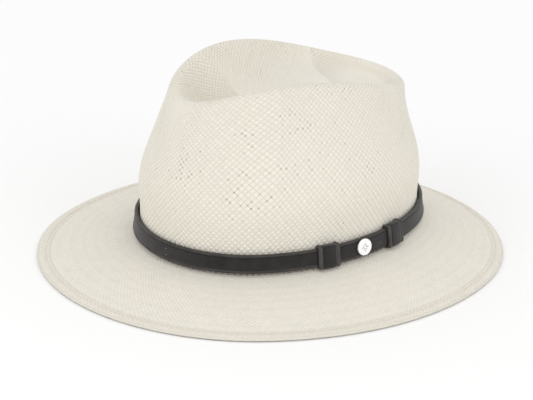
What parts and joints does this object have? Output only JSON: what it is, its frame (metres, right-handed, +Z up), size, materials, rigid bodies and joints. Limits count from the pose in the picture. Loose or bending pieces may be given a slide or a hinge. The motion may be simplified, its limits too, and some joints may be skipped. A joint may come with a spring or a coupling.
{
  "type": "panama hat",
  "caption": "Panama hat with a dented teardrop crown, a down-turned brim, and a leather strap with two sliding keepers and a round badge.",
  "frame": {"origin": "middle of the brim's edge, on the table that the brim stands on", "axes": "+Z up out of the crown, -Y the front of the hat, +X the wearer's left"},
  "size_m": [0.2986, 0.3372, 0.1391],
  "materials": {
    "straw": "woven paper straw",
    "wire": "spring steel",
    "straw_thread": "cotton thread",
    "sweatband": "cotton twill",
    "reed": "extruded",
    "band_thread": "thread",
    "bow_ribbon": "satin ribbon",
    "strap_leather": "smooth, rolled edge",
    "suede": "suede",
    "patch_leather": "plain",
    "tack_thread": "thread",
    "enamel": "white enamel",
    "badge_metal": "satin"
  },
  "bodies": {
    "hat": {"straw_body": "straw", "brim_wire": "wire", "hem_stitching": "straw_thread", "sweatband": "sweatband", "sweatband_reed": "reed", "sweatband_stitching": "band_thread", "sweatband_bow": "bow_ribbon", "strap": "strap_leather", "strap_suede": "suede", "strap_patch": "patch_leather", "strap_tacks": "tack_thread", "badge_face": "enamel", "badge_rivet": "badge_metal", "rivet_washer": "badge_metal"},
    "front_keeper": {"keeper_front": "strap_leather", "keeper_front_suede": "suede"},
    "rear_keeper": {"keeper_rear": "strap_leather", "keeper_rear_suede": "suede"}
  },
  "joints": [
    {"name": "front_keeper_slide", "type": "hinge", "parent": "hat", "child": "front_keeper", "pos_m": [-0.04886, 0.0054, 0.0202], "axis": [0, -0.0436, 0.999], "range_deg": [-12, 0.5]},
    {"name": "rear_keeper_slide", "type": "hinge", "parent": "hat", "child": "rear_keeper", "pos_m": [-0.04886, 0.0054, 0.0202], "axis": [0, -0.0436, 0.999], "range_deg": [-5, 7]}
  ]
}
